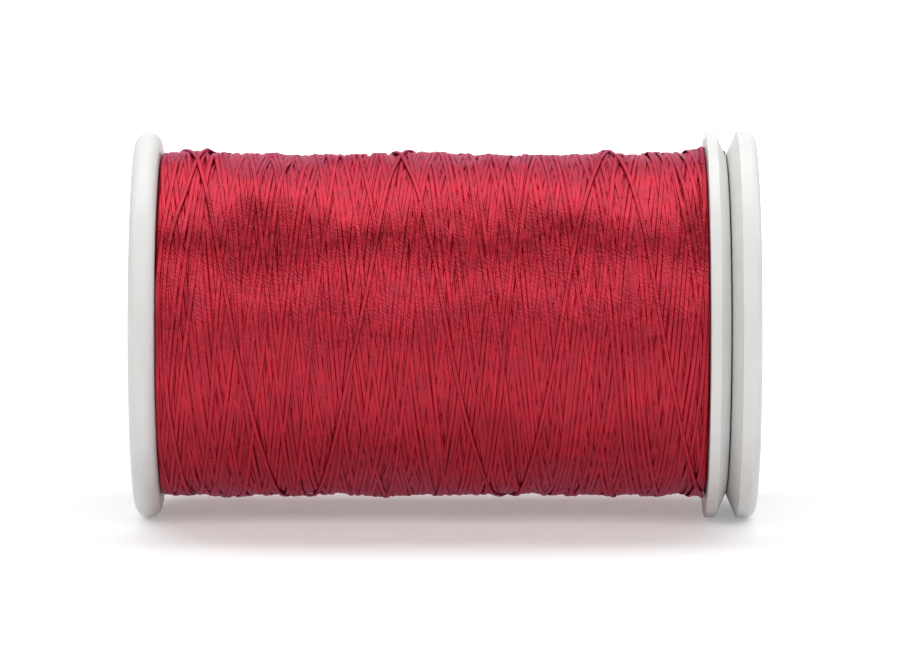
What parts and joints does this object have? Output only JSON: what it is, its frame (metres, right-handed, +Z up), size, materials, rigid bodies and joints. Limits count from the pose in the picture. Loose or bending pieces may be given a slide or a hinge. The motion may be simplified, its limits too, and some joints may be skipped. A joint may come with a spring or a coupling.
{
  "type": "spool of sewing thread",
  "caption": "Small white snap-lock spool, cross-wound with shiny red sewing thread, with a cap that slides out to free the thread's tail.",
  "frame": {"origin": "on the spool's axis, at the middle of its length", "axes": "+X along the axis towards the lock cap, +Z up; the spool lies on its side on the rims of its flanges"},
  "size_m": [0.0432, 0.027, 0.027],
  "materials": {
    "spool_plastic": "satin",
    "cap_plastic": "satin",
    "thread": "satin",
    "paper_label": "satin"
  },
  "bodies": {
    "spool": {"spool_body": "spool_plastic", "thread_winding": "thread", "thread_outer_turns": "thread", "thread_tail": "thread", "label_fixed_end": "paper_label"},
    "cap": {"lock_cap": "cap_plastic", "label_lock_end": "paper_label"}
  },
  "joints": [
    {"name": "cap_slide", "type": "slide", "parent": "spool", "child": "cap", "axis": [1, 0, 0], "range_m": [0, 0.002]}
  ]
}
